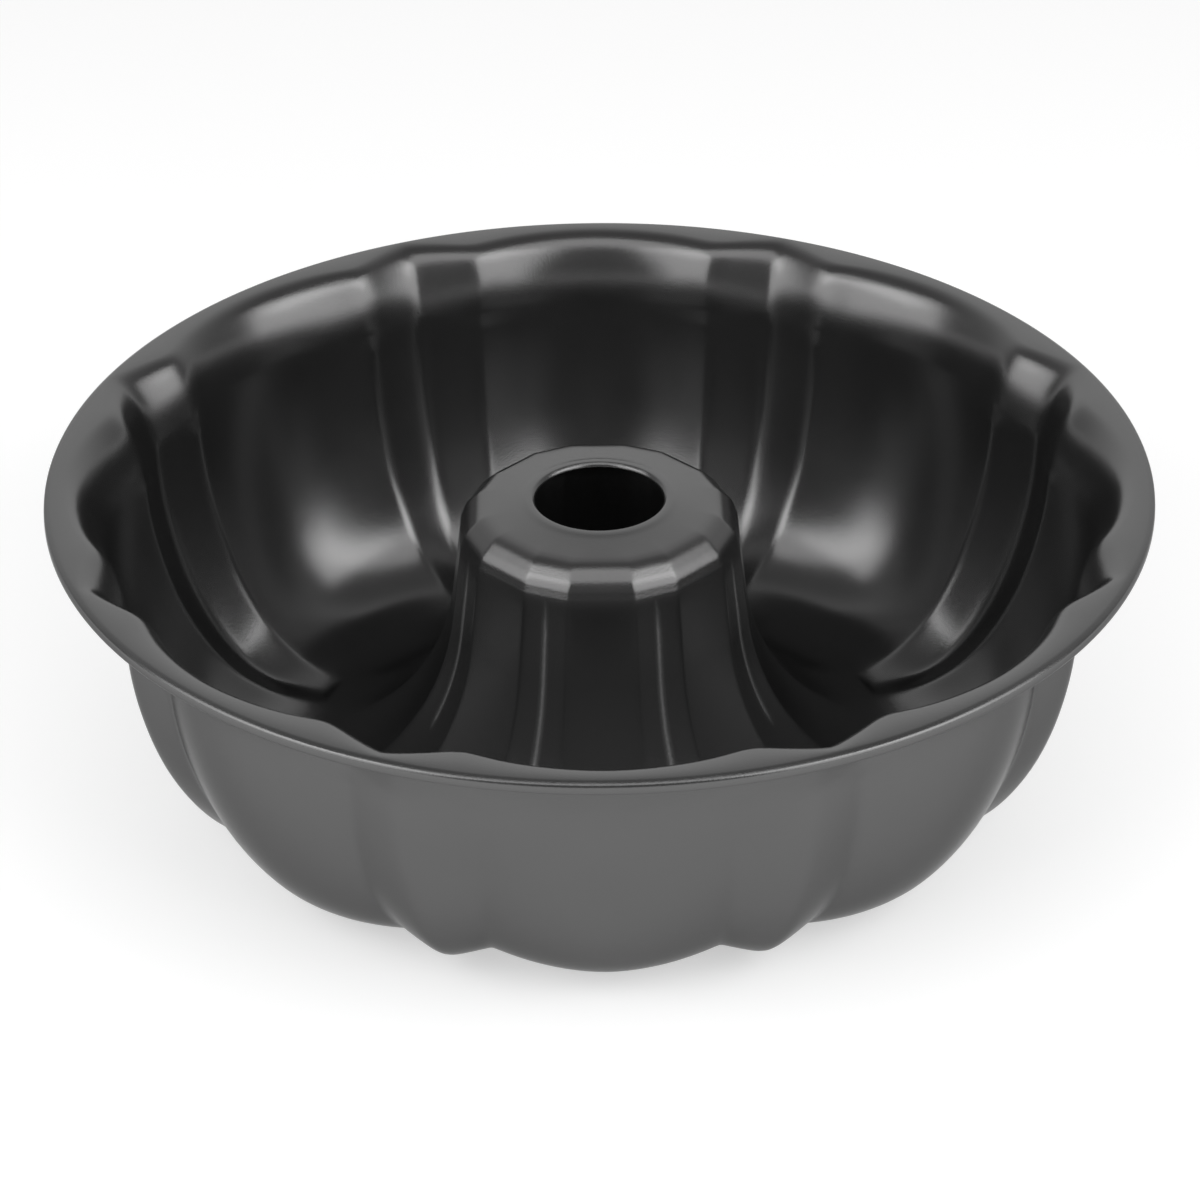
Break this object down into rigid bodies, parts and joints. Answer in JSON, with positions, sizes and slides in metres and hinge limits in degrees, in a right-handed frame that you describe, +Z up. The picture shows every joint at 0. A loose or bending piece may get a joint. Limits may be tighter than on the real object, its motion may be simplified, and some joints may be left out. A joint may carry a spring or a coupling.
{
  "type": "fluted tube pan",
  "caption": "Fluted ring cake pan: a coated steel pressing with lobed wall, V grooves, hollow faceted centre tube, narrow flange and an edge rolled round a wire.",
  "frame": {"origin": "centre of the base, on the surface that the pan stands on", "axes": "+Z up along the centre tube; +Y to the back of the picture and +X to its right, each through the middle of a large lobe"},
  "size_m": [0.265, 0.265, 0.081],
  "materials": {
    "coated_steel": "dark grey semi-gloss non-stick coat on drawn steel sheet",
    "wire_steel": "plain drawn wire"
  },
  "bodies": {
    "root": {"pan_shell": "coated_steel", "rim_wire": "wire_steel"}
  },
  "joints": []
}
